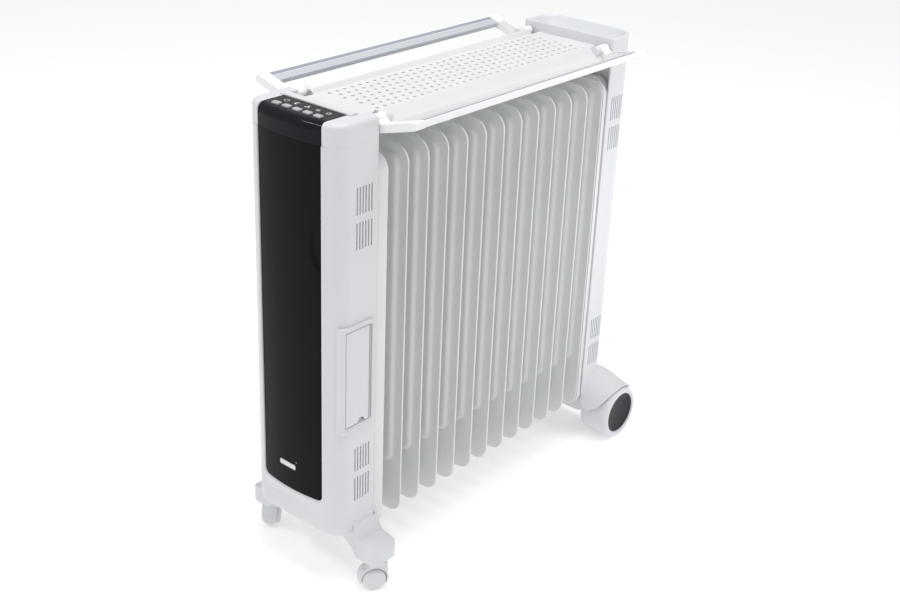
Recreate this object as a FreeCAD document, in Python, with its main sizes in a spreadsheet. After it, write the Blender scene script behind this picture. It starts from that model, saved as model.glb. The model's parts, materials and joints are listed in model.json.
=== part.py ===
import FreeCAD, Part
import os
import re
import Sketcher
from FreeCAD import Placement, Rotation, Vector

# Oil filled radiator heater on castors, with a drying tray and two folding drying racks.
# Millimetres. +Z is up and the heater stands on Z = 0. The control panel faces -Y, +X is the
# right-hand side seen from the front, and the origin is the middle of the footprint.

os.makedirs("parts", exist_ok=True)
doc = FreeCAD.newDocument("OilRadiator")

# ---------------------------------------------------------------- driving dimensions
DIMENSIONS = (
    ("half_width", 79, "half the width of both end housings"),
    ("corner_round", 25, "upright corners of the housings"),
    ("wall", 2.5, "moulded wall"),
    ("face_front", -321, "front face of the front housing"),
    ("front_rear", -251.6, "open rear edge of the front housing"),
    ("base_low", 80, "underside of the front housing"),
    ("foot_seam", 95, "seam between housing side and front foot"),
    ("head_seam", 622, "seam between front housing and control head"),
    ("head_top", 650, "top of the control head"),
    ("panel_half", 54, "half the width of the glossy panel"),
    ("panel_low", 135, "bottom of the glossy panel"),
    ("panel_crown", 6, "bulge of the glossy panel at its middle"),
    ("panel_skin", 3, "thickness of the glossy panel at its sides"),
    ("fascia_rear", -279.3, "rear edge of the glossy top"),
    ("strip_rear", -268, "rear edge of the raised strip behind the glossy top"),
    ("button_pitch", 17.6, "between neighbouring buttons"),
    ("button_middle", -307.5, "row of buttons"),
    ("button_wide", 11.5, "button cap across"),
    ("button_deep", 8, "button cap front to rear"),
    ("button_top", 652, "top of a button at rest"),
    ("vent_pitch", 5, "between vent slots"),
    ("vent_wide", 1.8, "vent slot"),
    ("vent_high", 35, "vent slot"),
    ("box_front", -314, "compartment frame, front"),
    ("box_rear", -258, "compartment frame, rear"),
    ("box_low", 243, "compartment frame, bottom"),
    ("box_high", 391, "compartment frame, top"),
    ("box_deep", 38, "inner end of the compartment, from the middle"),
    ("box_proud", 81.5, "outer face of the compartment frame"),
    ("hinge_x", 79.3, "compartment door pin"),
    ("hinge_y", -263.9, "compartment door pin"),
    ("fin_middle", -6, "middle fin"),
    ("fin_pitch", 37.4, "between neighbouring fins"),
    ("fin_half", 75, "half the width of a fin"),
    ("fin_low", 63, "bottom of a fin"),
    ("fin_high", 596, "top of a fin"),
    ("fin_round", 22, "corners of a fin"),
    ("fin_sheet", 1.2, "two steel sheets of a fin's edge"),
    ("channel_half", 59, "half the width of a fin's oil channel"),
    ("channel_low", 142, "bottom of the oil channel"),
    ("channel_high", 582, "top of the oil channel"),
    ("channel_thick", 10, "thickness of the oil channel"),
    ("steel", 0.6, "wall of the oil channel"),
    ("collar_radius", 24, "header collar"),
    ("bore_radius", 21, "inside of a header collar"),
    ("header_low", 166, "lower header"),
    ("header_high", 556, "upper header"),
    ("end_gap", 0.8, "fin face to end plate"),
    ("end_deep", 19, "depth of an end plate"),
    ("end_sheet", 1.2, "end plate steel"),
    ("rear_front", 227, "front edge of the rear housing"),
    ("rear_back", 288, "rear face of the rear housing"),
    ("rear_round", 32, "upright rear corners of the rear housing"),
    ("rear_low", 122, "bottom of the rear housing"),
    ("cap_seam", 636, "seam between rear housing and its cap"),
    ("cap_top", 656, "top of the rear cap"),
    ("tray_level", 642, "perforated floor of the tray"),
    ("tray_skin", 2.4, "tray thickness"),
    ("tray_front", -268, "front end of the tray"),
    ("tray_rear", 227, "rear end of the tray"),
    ("hole_pitch", 13.5, "between tray holes"),
    ("hole_radius", 2.6, "tray hole"),
    ("pivot_x", 68, "rack pivot from the middle"),
    ("pivot_z", 641, "rack pivot height"),
    ("rack_tilt", 16, "rise of an opened rack"),
    ("rack_reach", 65.5, "pivot to the rack's outer edge"),
    ("arm_drop", 16, "arm underside below the pivot"),
    ("arm_thick", 10, "arm thickness"),
    ("arm_deep", 17.4, "arm size along the heater"),
    ("arm_front", -250.5, "front face of the front arm"),
    ("arm_rear", 224.5, "rear face of the rear arm"),
    ("rail_wide", 20, "rail across"),
    ("knuckle_radius", 7, "rack hinge knuckle"),
    ("pin_radius", 2.5, "rack hinge pin"),
    ("fixed_gap", 0.03, "radial gap of a fixed pin or disc in its seat"),
    ("running_gap", 0.05, "radial clearance of a turning fit"),
    ("wheel_y", 284, "rear axle"),
    ("wheel_radius", 43, "rear wheel"),
    ("wheel_in", 70, "inner face of a rear wheel"),
    ("wheel_out", 120, "outer face of a rear wheel"),
    ("hub_radius", 33, "dark hub of a rear wheel"),
    ("axle_radius", 4, "rear axle"),
    ("fender_radius", 47.5, "outside of a fender over its wheel"),
    ("arch_radius", 45, "inside of a fender"),
    ("rear_foot_low", 45, "underside of the rear foot"),
    ("rear_foot_front", 239.2, "rear foot behind the rear end plate"),
    ("foot_front", -290, "front face of the front foot"),
    ("foot_rear", -246, "rear face of the front foot"),
    ("foot_low", 45.5, "underside of the foot's ends"),
    ("foot_tip", 122, "end of the front foot"),
    ("castor_x", 104, "castor stem from the middle"),
    ("castor_y", -269, "castor stem"),
    ("castor_radius", 16.5, "castor wheels"),
    ("castor_trail", 6, "castor stem to castor axle"),
    ("castor_half", 13, "outer face of a castor wheel, from the stem"),
    ("castor_cover", 9.5, "half the width of a castor hood"),
    ("castor_web", 2, "half the web between the wheels of a castor"),
    ("stem_radius", 4, "castor stem"),
)
FIN_COUNT = 13
VENT_SLOTS = 6
VENT_LOWS = (132, 177, 489, 534)
HEADERS = ("header_low", "header_high")
TRAY_ROWS = 7
TRAY_COLUMNS = 31
RIGHT, LEFT = 1, -1
SIDES = {"right": RIGHT, "left": LEFT}
CASTOR_TURN = {"right": 148, "left": 40}
BUTTONS = ("timer", "sleep", "fan", "heat", "power")

sheet = doc.addObject("Spreadsheet::Sheet", "Dims")
for row, (alias, size, note) in enumerate(DIMENSIONS, start=1):
    sheet.set(f"A{row}", note)
    sheet.set(f"B{row}", str(size))
    sheet.setAlias(f"B{row}", alias)
doc.recompute()
ALIASES = {alias for alias, size, note in DIMENSIONS}


def bound(text):
    """Points every alias in an expression at the spreadsheet."""
    def link(word):
        return "Dims." + word.group() if word.group() in ALIASES else word.group()
    return re.sub(r"[a-z]+(_[a-z]+)*", link, str(text))


def value(text):
    """Number that an expression of aliases has now."""
    return float(sheet.evalExpression(str(text)))


# ---------------------------------------------------------------- modelling helpers
PLANES = {"XY": ("XY_Plane", 1), "XZ": ("XZ_Plane", -1), "YZ": ("YZ_Plane", 1)}
AXES = {"X": Vector(1, 0, 0), "Y": Vector(0, 1, 0), "Z": Vector(0, 0, 1)}
AXIS_TURN = {
    "X": Rotation(Vector(0, 1, 0), 90),
    "Y": Rotation(Vector(1, 0, 0), -90),
    "Z": Rotation(),
}


def new_body(label):
    body = doc.addObject("PartDesign::Body", label)
    body.Label = label
    return body


def origin_feature(body, role):
    return next(feature for feature in body.Origin.OriginFeatures if feature.Role == role)


def bind(sketch, constraint, text):
    """Adds a dimension to a sketch and binds it to the spreadsheet."""
    index = sketch.addConstraint(constraint)
    name = f"size_{index}"
    sketch.renameConstraint(index, name)
    if bound(text) != str(text):
        sketch.setExpression("Constraints." + name, bound(text))


def locate(sketch, geometry, point, place):
    """Fixes a point of a sketch by its distances from the sketch's origin."""
    for kind, text in zip(("DistanceX", "DistanceY"), place):
        bind(sketch, Sketcher.Constraint(kind, -1, 1, geometry, point, value(text)), text)


def draw_polygon(sketch, corners):
    places = [Vector(value(across), value(up), 0) for across, up in corners]
    first = sketch.GeometryCount
    count = len(places)
    for start, end in zip(places, places[1:] + places[:1]):
        sketch.addGeometry(Part.LineSegment(start, end), False)
    for index in range(count):
        following = first + (index + 1) % count
        sketch.addConstraint(Sketcher.Constraint("Coincident", first + index, 2, following, 1))
    for index, place in enumerate(corners):
        locate(sketch, first + index, 1, place)


def draw_circle(sketch, place, radius):
    centre = Vector(value(place[0]), value(place[1]), 0)
    index = sketch.addGeometry(Part.Circle(centre, Vector(0, 0, 1), value(radius)), False)
    locate(sketch, index, 3, place)
    bind(sketch, Sketcher.Constraint("Radius", index, value(radius)), radius)


def rectangle(across, up):
    """Four corners from two (low, high) pairs."""
    return [(across[0], up[0]), (across[1], up[0]), (across[1], up[1]), (across[0], up[1])]


def chamfered(across, up, size):
    """Rectangle from two (low, high) pairs with its four corners cut off."""
    (left, right), (low, high) = across, up
    return [(f"{left} + {size}", low), (f"{right} - {size}", low), (right, f"{low} + {size}"),
            (right, f"{high} - {size}"), (f"{right} - {size}", high), (f"{left} + {size}", high),
            (left, f"{high} - {size}"), (left, f"{low} + {size}")]


def extrude(body, plane, span, polygons=(), circles=(), cut=False):
    """Pads or pockets outlines between two levels along the plane's normal axis."""
    role, sign = PLANES[plane]
    low, high = span
    level = high if (sign > 0) == cut else low
    sketch = body.newObject("Sketcher::SketchObject", body.Name + "_sketch")
    sketch.AttachmentSupport = [(origin_feature(body, role), "")]
    sketch.MapMode = "FlatFace"
    sketch.setExpression("AttachmentOffset.Base.z", bound(f"{sign} * ({level})"))
    for corners in polygons:
        draw_polygon(sketch, corners)
    for place, radius in circles:
        draw_circle(sketch, place, radius)
    kind = "Pocket" if cut else "Pad"
    feature = body.newObject("PartDesign::" + kind, f"{body.Name}_{kind}")
    feature.Profile = sketch
    feature.setExpression("Length", bound(f"({high}) - ({low})"))
    return feature


def repeat(body, feature, axis, spacing, count):
    """Repeats a feature along an axis of its body."""
    pattern = body.newObject("PartDesign::LinearPattern", body.Name + "_pattern")
    pattern.Originals = [feature]
    pattern.Direction = (origin_feature(body, axis + "_Axis"), [""])
    pattern.setExpression("Length", bound(f"({spacing}) * {count - 1}"))
    pattern.Occurrences = count
    body.Tip = pattern
    return pattern


def edges(shape, along=None, within=None):
    """Names of a shape's edges with one direction, or wholly inside a box of (low, high) pairs."""
    names = []
    for index, edge in enumerate(shape.Edges, start=1):
        box = edge.BoundBox
        sizes = {"X": box.XLength, "Y": box.YLength, "Z": box.ZLength}
        if along and (sizes[along] < 0.5 or max(s for a, s in sizes.items() if a != along) > 0.01):
            continue
        lows = {"X": box.XMin, "Y": box.YMin, "Z": box.ZMin}
        highs = {"X": box.XMax, "Y": box.YMax, "Z": box.ZMax}
        pairs = (within or {}).items()
        if all(value(low) - 0.05 <= lows[a] and highs[a] <= value(high) + 0.05 for a, (low, high) in pairs):
            names.append(f"Edge{index}")
    return names


def round_edges(body, radius, along=None, within=None, but=None):
    """Fillets the chosen edges of a body's last feature, except those inside a second box."""
    doc.recompute()
    base = body.Tip
    spared = edges(base.Shape, None, but) if but else []
    names = [name for name in edges(base.Shape, along, within) if name not in spared]
    fillet = body.newObject("PartDesign::Fillet", body.Name + "_fillet")
    fillet.Base = (base, names)
    fillet.setExpression("Radius", bound(f"1 * ({radius})"))
    doc.recompute()
    return fillet


def place_part(part, base, axis="Z", turn=None):
    """Binds where a part stands, after turning it about one axis."""
    if turn is None:
        part.Placement = Placement(Vector(), AXIS_TURN[axis])
    else:
        part.Placement = Placement(Vector(), Rotation(AXES[axis], value(turn)))
    for letter, text in zip("xyz", base):
        part.setExpression("Placement.Base." + letter, bound(f"1 * ({text})"))


def block(label, across, deep, high):
    """Box between (low, high) pairs."""
    part = doc.addObject("Part::Box", label)
    part.Label = label
    for size, (low, top) in zip(("Length", "Width", "Height"), (across, deep, high)):
        part.setExpression(size, bound(f"({top}) - ({low})"))
    place_part(part, (across[0], deep[0], high[0]))
    return part


def rod(label, axis, middle, radius, span):
    """Cylinder along an axis; middle is its place on the other two axes in X, Y, Z order."""
    part = doc.addObject("Part::Cylinder", label)
    part.Label = label
    part.setExpression("Radius", bound(f"1 * ({radius})"))
    part.setExpression("Height", bound(f"({span[1]}) - ({span[0]})"))
    base = list(middle)
    base.insert("XYZ".index(axis), span[0])
    place_part(part, base, axis)
    return part


def combine(label, kind, members):
    """Fusion or compound of several solids."""
    part = doc.addObject("Part::" + kind, label)
    part.Label = label
    setattr(part, "Links" if kind == "Compound" else "Shapes", members)
    return part


def subtract(label, base, tool):
    part = doc.addObject("Part::Cut", label)
    part.Label = label
    part.Base = base
    part.Tool = tool
    return part


# ---------------------------------------------------------------- front housing
def housing_outline(rear, front):
    return rectangle(("-half_width", "half_width"), (front, rear))


def cavity_outline(open_end, corner_start, closed_end):
    """Inside of a housing: straight sides with slanted corners behind the rounded ones."""
    inner = "half_width - wall"
    slant = f"half_width - wall - abs(({closed_end}) - ({corner_start}))"
    return [(f"-({inner})", open_end), (inner, open_end), (inner, corner_start),
            (slant, closed_end), (f"-({slant})", closed_end), (f"-({inner})", corner_start)]


def cut_vents(body, first):
    """Four groups of upright slots through both sides of a housing."""
    lower = (first, f"({first}) + vent_wide")
    slots = [rectangle(lower, (low, f"{low} + vent_high")) for low in VENT_LOWS]
    feature = extrude(body, "YZ", ("-half_width - 1", "half_width + 1"), slots, cut=True)
    repeat(body, feature, "Y", "vent_pitch", VENT_SLOTS)


def front_housing():
    body = new_body("front_housing")
    extrude(body, "XY", ("base_low", "head_seam"), [housing_outline("front_rear", "face_front")])
    round_edges(body, "corner_round", "Z", {"Y": ("face_front", "face_front")})
    round_edges(body, 12, None, {"Z": ("base_low", "base_low")}, {"Y": ("front_rear", "front_rear")})
    cavity = cavity_outline("front_rear + 1", "-302", "-314.5")
    extrude(body, "XY", ("base_low + wall + 9.5", "head_seam + 1"), [cavity], cut=True)
    recess = rectangle(("-panel_half", "panel_half"), ("face_front - 1", "face_front + panel_skin"))
    extrude(body, "XY", ("panel_low", "head_seam + 1"), [recess], cut=True)
    foot_gap = rectangle(("foot_front - 0.3", "front_rear + 1"), ("base_low - 1", "foot_seam"))
    extrude(body, "YZ", ("-half_width - 1", "half_width + 1"), [foot_gap], cut=True)
    hole = rectangle(("box_front", "box_rear"), ("box_low", "box_high"))
    extrude(body, "YZ", ("box_deep", "half_width + 1"), [hole], cut=True)
    cut_vents(body, "-287.9")
    return body


def front_heat_shield():
    body = new_body("front_heat_shield")
    plate = rectangle(("wall - half_width", "half_width - wall"), ("foot_seam + 1", "head_seam - 1"))
    openings = [(("0", "header_low"), 16), (("0", "header_high"), 12)]
    extrude(body, "XZ", ("-254.2", "-253"), [plate], openings)
    return body


# ---------------------------------------------------------------- control head
def button_x(index):
    return f"button_pitch * {index - 2}"


def control_head():
    """White top of the front housing, with posts for the circuit board."""
    body = new_body("control_head")
    extrude(body, "XY", ("head_seam", "head_top"), [housing_outline("front_rear", "face_front")])
    round_edges(body, "corner_round", "Z", {"Y": ("face_front", "face_front")})
    round_edges(body, 7, "Y", {"Z": ("head_top", "head_top")})
    cavity = cavity_outline("front_rear - wall", "-302", "-314.5")
    extrude(body, "XY", ("head_seam - 1", "head_top - 7"), [cavity], cut=True)
    recess = [("face_front - 1", "head_seam - 1"), ("face_front + panel_skin", "head_seam - 1"),
              ("face_front + panel_skin", "head_top - 13"), ("-313.2", "head_top - panel_skin"),
              ("fascia_rear", "head_top - panel_skin"), ("fascia_rear", "head_top + 1"),
              ("face_front - 1", "head_top + 1")]
    extrude(body, "YZ", ("-panel_half", "panel_half"), [recess], cut=True)
    shelf = rectangle(("-57", "57"), ("strip_rear", "front_rear + 1"))
    extrude(body, "XY", ("tray_level - tray_skin", "head_top + 1"), [shelf], cut=True)
    strip = rectangle(("-panel_half - 6", "panel_half + 6"), ("fascia_rear", "strip_rear"))
    extrude(body, "XY", ("head_top - 1", "head_top + 2"), [strip])
    round_edges(body, 1.2, "X", {"Z": ("head_top + 2", "head_top + 2")})
    wells = [rectangle((f"{button_x(i)} - 7.5", f"{button_x(i)} + 7.5"),
                       ("button_middle - 5.7", "button_middle + 5.7")) for i in range(len(BUTTONS))]
    extrude(body, "XY", ("head_top - 8", "head_top - 2"), wells, cut=True)
    posts = [((f"{x} * 44", y), 2.5) for x in (LEFT, RIGHT) for y in ("-297.5", "-280")]
    extrude(body, "XY", ("633.6", "head_top - 6"), circles=posts)
    return body


def crowned_outline(sketch, rear, front):
    """Plan of a bulging panel: flat at the rear, one wide arc at the front."""
    half, crown = "panel_half", "panel_crown"
    ends = [("-panel_half", front), ("-panel_half", rear), (half, rear), (half, front)]
    places = [Vector(value(across), value(up), 0) for across, up in ends]
    for start, end in zip(places, places[1:]):
        sketch.addGeometry(Part.LineSegment(start, end), False)
    nose = Vector(0, value(f"({front}) - {crown}"), 0)
    sketch.addGeometry(Part.Arc(places[0], nose, places[3]), False)
    for index in (0, 1):
        sketch.addConstraint(Sketcher.Constraint("Coincident", index, 2, index + 1, 1))
    sketch.addConstraint(Sketcher.Constraint("Coincident", 0, 1, 3, 1))
    sketch.addConstraint(Sketcher.Constraint("Coincident", 2, 2, 3, 2))
    for index, place in enumerate(ends[:3]):
        locate(sketch, index, 1, place)
    locate(sketch, 2, 2, ends[3])
    radius = f"(({half})^2 + ({crown})^2) / (2 * {crown})"
    bind(sketch, Sketcher.Constraint("Radius", 3, value(radius)), radius)


def crowned_pad(body, span, rear, front):
    sketch = body.newObject("Sketcher::SketchObject", body.Name + "_sketch")
    sketch.AttachmentSupport = [(origin_feature(body, "XY_Plane"), "")]
    sketch.MapMode = "FlatFace"
    sketch.setExpression("AttachmentOffset.Base.z", bound(f"1 * ({span[0]})"))
    crowned_outline(sketch, rear, front)
    pad = body.newObject("PartDesign::Pad", body.Name + "_Pad")
    pad.Profile = sketch
    pad.setExpression("Length", bound(f"({span[1]}) - ({span[0]})"))


def control_fascia():
    """Glossy top that rolls over into the front panel, with the button openings."""
    body = new_body("control_fascia")
    crowned_pad(body, ("head_seam", "head_top"), "fascia_rear", "face_front")
    round_edges(body, 12, None, {"Z": ("head_top", "head_top"), "Y": ("-330", "face_front")})
    inside = [("face_front + panel_skin", "head_seam - 1"), ("face_front + panel_skin", "head_top - 13"),
              ("-313.2", "head_top - panel_skin"), ("fascia_rear + 1", "head_top - panel_skin"),
              ("fascia_rear + 1", "head_seam - 1")]
    extrude(body, "YZ", ("-panel_half - 1", "panel_half + 1"), [inside], cut=True)
    across = [(f"{button_x(i)} - button_wide / 2 - 0.3", f"{button_x(i)} + button_wide / 2 + 0.3")
              for i in range(len(BUTTONS))]
    deep = ("button_middle - button_deep / 2 - 0.3", "button_middle + button_deep / 2 + 0.3")
    extrude(body, "XY", ("head_top - 5", "head_top + 1"), [rectangle(x, deep) for x in across], cut=True)
    return body


def front_panel():
    body = new_body("front_panel")
    crowned_pad(body, ("panel_low", "head_seam"), "face_front + panel_skin", "face_front")
    badge = rectangle(("-19.5", "9.5"), ("166", "174"))
    extrude(body, "XZ", ("-330", "-325"), [badge], cut=True)
    round_edges(body, 8, "Y", {"Z": ("panel_low", "panel_low")})
    return body


def push_button(index, name):
    body = new_body(name + "_button")
    middle = button_x(index)

    def outline(wide, deep):
        return rectangle((f"{middle} - {wide} / 2", f"{middle} + {wide} / 2"),
                         (f"button_middle - {deep} / 2", f"button_middle + {deep} / 2"))
    extrude(body, "XY", ("644.6", "button_top"), [outline("button_wide", "button_deep")])
    round_edges(body, 1.6, "Z")
    round_edges(body, 0.8, None, {"Z": ("button_top", "button_top")})
    extrude(body, "XY", ("644.6", "646.6"), [outline("14", "10.4")])
    extrude(body, "XY", ("638.8", "645"), circles=[((middle, "button_middle"), 2.2)])
    return body


def control_board():
    """Circuit board with one tact switch under each button."""
    board = block("control_board_sheet", ("-50", "50"), ("-313.5", "-276"), ("632", "633.6"))
    members = [board]
    for index in range(len(BUTTONS)):
        middle = button_x(index)
        members.append(block(f"switch_{index}", (f"{middle} - 3", f"{middle} + 3"),
                             ("button_middle - 3", "button_middle + 3"), ("633.6", "636.6")))
        members.append(rod(f"plunger_{index}", "Z", (middle, "button_middle"), 1.7, ("636.6", "637.4")))
    return combine("control_board", "MultiFuse", members)


def panel_badge():
    return block("panel_badge", ("-19.5", "9.5"), ("-327.4", "-325"), ("166", "174"))


# ---------------------------------------------------------------- electrical parts
def power_board():
    members = [block("power_sheet", ("-62", "8"), ("-267", "-265.4"), ("396", "520"))]
    members += [rod(f"power_post_{x}_{z}", "Y", (x, z), 2.5, ("-265.4", "-254.2"))
                for x in ("-57", "3") for z in ("401", "515")]
    members.append(block("transformer", ("-56", "-28"), ("-291", "-267"), ("480", "512")))
    members += [block(f"relay_{low}", ("-24", "-4"), ("-283", "-267"), (low, f"{low} + 16"))
                for low in ("410", "432", "454")]
    return combine("power_board", "MultiFuse", members)


def thermal_cutout():
    can = rod("cutout_can", "Y", ("-40", "560"), 9, ("-264", "-254.2"))
    tabs = block("cutout_tabs", ("-51", "-29"), ("-265", "-263.6"), ("557", "563"))
    return combine("thermal_cutout", "MultiFuse", [can, tabs])


def tip_over_switch():
    case = block("tip_case", ("20", "50"), ("-272", "-254.2"), ("112", "136"))
    plunger = rod("tip_weight", "Z", ("35", "-263"), 6, ("106", "112"))
    return combine("tip_over_switch", "MultiFuse", [case, plunger])


def cord_gland():
    """Grommet in the compartment's inner wall, where the supply cord would enter."""
    flange = rod("gland_flange", "X", ("-282", "274"), 8, ("box_deep + 2", "box_deep + 5"))
    sleeve = rod("gland_sleeve", "X", ("-282", "274"), 5.5, ("box_deep - 4", "box_deep + 3"))
    bore = rod("gland_bore", "X", ("-282", "274"), 3.6, ("box_deep - 5", "box_deep + 6"))
    return subtract("cord_gland", combine("gland_body", "MultiFuse", [flange, sleeve]), bore)


# ---------------------------------------------------------------- side compartment
def compartment_box():
    body = new_body("compartment_box")
    extrude(body, "YZ", ("box_deep", "box_proud"), [rectangle(("box_front", "box_rear"),
                                                              ("box_low", "box_high"))])
    round_edges(body, 3, "Z", {"X": ("box_proud", "box_proud"), "Y": ("box_front", "box_front")})
    mouth = rectangle(("-303.5", "-261.5"), ("250.5", "383.5"))
    extrude(body, "YZ", ("78.6", "box_proud + 1"), [mouth], cut=True)
    relief = rectangle(("-262", "-260.6"), ("250.5", "383.5"))
    extrude(body, "YZ", ("79.6", "box_proud + 1"), [relief], cut=True)
    heel_room = rectangle(("-265", "-261.5"), ("250.5", "383.5"))
    extrude(body, "YZ", ("77.4", "79"), [heel_room], cut=True)
    well = rectangle(("-301", "-261.5"), ("253", "381"))
    extrude(body, "YZ", ("box_deep + 2", "79"), [well], cut=True)
    extrude(body, "YZ", ("box_deep - 1", "box_deep + 3"), circles=[(("-282", "274"), 5.5)], cut=True)
    extrude(body, "XY", ("248", "386"), circles=[(("hinge_x", "hinge_y"), 1)], cut=True)
    return body


def compartment_door():
    """Door with its hinge barrel along the rear edge and a finger notch at the bottom."""
    body = new_body("compartment_door")
    panel = rectangle(("-303.2", "-262.9"), ("250.8", "383.2"))
    notch = (("-279", "250.8"), 6)
    extrude(body, "YZ", ("79", "81.2"), [panel])
    extrude(body, "YZ", ("78", "82"), circles=[notch], cut=True)
    barrel = (("hinge_x", "hinge_y"), 1.9)
    extrude(body, "XY", ("253.3", "380.7"), circles=[barrel])
    bore = (("hinge_x", "hinge_y"), "1 + running_gap")
    extrude(body, "XY", ("249", "385"), circles=[bore], cut=True)
    return body


def door_hinge_pin():
    return rod("door_hinge_pin", "Z", ("hinge_x", "hinge_y"), 1, ("248", "386"))


# ---------------------------------------------------------------- radiator
def fin(number):
    """Two pressed sheets: flat edge and raised oil channel, with the openings of both headers."""
    body = new_body(f"fin_{number:02d}")
    edge = rectangle(("-fin_half", "fin_half"), ("fin_low", "fin_high"))
    extrude(body, "XZ", ("-fin_sheet / 2", "fin_sheet / 2"), [edge])
    round_edges(body, "fin_round", "Y")
    channel = rectangle(("-channel_half", "channel_half"), ("channel_low", "channel_high"))
    extrude(body, "XZ", ("-channel_thick / 2", "channel_thick / 2"), [channel])
    round_edges(body, 14, "Y", {"Z": ("channel_low", "channel_high")})
    hollow = chamfered(("1 - channel_half", "channel_half - 1"), ("channel_low + 1", "channel_high - 1"), 8)
    extrude(body, "XZ", ("steel - channel_thick / 2", "channel_thick / 2 - steel"), [hollow], cut=True)
    bores = [(("0", place), "bore_radius") for place in HEADERS]
    extrude(body, "XZ", ("-channel_thick", "channel_thick"), circles=bores, cut=True)
    place_part(body, ("0", f"fin_middle + fin_pitch * {number - (FIN_COUNT + 1) // 2}", "0"))
    return body


END_FIN = f"fin_pitch * {(FIN_COUNT - 1) // 2}"


def end_plate(label, side):
    """White pressed rim around the first or last fin, with a recessed web."""
    body = new_body(label)

    def level(distance):
        return f"fin_middle + {side} * ({END_FIN} + {distance})"

    def span(near, far):
        return (level(near), level(far)) if side > 0 else (level(far), level(near))
    outline = rectangle(("-fin_half - end_sheet", "fin_half + end_sheet"),
                        ("fin_low - end_sheet", "fin_high + end_sheet"))
    extrude(body, "XZ", span("end_gap", "end_gap + end_deep"), [outline])
    round_edges(body, "fin_round + end_sheet", "Y")
    round_edges(body, 3, None, {"Y": (level("end_gap + end_deep"),) * 2})
    inside = chamfered(("1 - fin_half", "fin_half - 1"), ("fin_low + 1", "fin_high - 1"), 12)
    for near, far in (("0", "6"), ("7.2", "end_gap + end_deep + 1")):
        extrude(body, "XZ", span(near, far), [inside], cut=True)
    collars = [(("0", place), "collar_radius + 0.3") for place in HEADERS]
    extrude(body, "XZ", span("5", "8"), circles=collars, cut=True)
    return body


def header_collars():
    """Welded rings that join the fins at both headers, closed by a cap with a stud at the rear."""
    members = []
    for name in HEADERS:
        place = ("0", name)
        for gap in range(FIN_COUNT + 1):
            weld = f"fin_middle + fin_pitch * {gap - FIN_COUNT / 2}"
            start = weld if gap == 0 else f"{weld} - (fin_pitch - channel_thick) / 2"
            end = weld if gap == FIN_COUNT else f"{weld} + (fin_pitch - channel_thick) / 2"
            tube = rod(f"{name}_tube_{gap}", "Y", place, "collar_radius", (start, end))
            bore = rod(f"{name}_bore_{gap}", "Y", place, "bore_radius", (f"{start} - 1", f"{end} + 1"))
            members.append(subtract(f"{name}_ring_{gap}", tube, bore))
        disc = rod("cap_of_" + name, "Y", place, "collar_radius", (weld, f"{weld} + 2"))
        stud = rod("stud_of_" + name, "Y", place, "4 - fixed_gap", (f"{weld} + 1", "250"))
        members.append(combine("closed_" + name, "MultiFuse", [disc, stud]))
    return combine("header_collars", "Compound", members)


FRONT_WELD = f"fin_middle - {END_FIN} - fin_pitch / 2"


def heating_element():
    """Flanged hairpin element in the lower header, with its terminals in the housing."""
    flange = rod("element_flange", "Y", ("0", "header_low"), "collar_radius",
                 (f"{FRONT_WELD} - 3", FRONT_WELD))
    legs = [rod(f"element_leg_{x}", "Y", (x, "header_low"), 4, ("-266", "200")) for x in ("-9", "9")]
    bend = rod("element_bend", "X", ("200", "header_low"), 4, ("-9", "9"))
    return combine("heating_element", "MultiFuse", [flange, bend] + legs)


def filler_plug():
    disc = rod("plug_disc", "Y", ("0", "header_high"), "collar_radius", (f"{FRONT_WELD} - 3", FRONT_WELD))
    hexagon = doc.addObject("Part::Prism", "plug_hexagon")
    hexagon.Polygon = 6
    hexagon.Circumradius = 10
    hexagon.Height = 9
    place_part(hexagon, ("0", f"{FRONT_WELD} - 11", "header_high"), "Y")
    return combine("filler_plug", "MultiFuse", [disc, hexagon])


# ---------------------------------------------------------------- tray and racks
def tray_profile():
    """Cross-section of the tray: perforated floor, raised rims and sloping flanges."""
    top = [("50", "tray_level"), ("54", "tray_level + 5"), ("59", "tray_level + 5"),
           ("75", "tray_level - 8"), ("77.5", "tray_level - 12"), ("77.5", "tray_level - 18")]
    under = [("77.5 - tray_skin", "tray_level - 18"), ("77.5 - tray_skin", "tray_level - 12.6"),
             ("73.2", "tray_level - 9.6"), ("58.2", "tray_level + 5 - tray_skin"),
             ("55", "tray_level + 5 - tray_skin"), ("51", "tray_level - tray_skin")]
    right = top + under
    left = [(f"-({across})", up) for across, up in reversed(right)]
    return right + left


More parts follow.
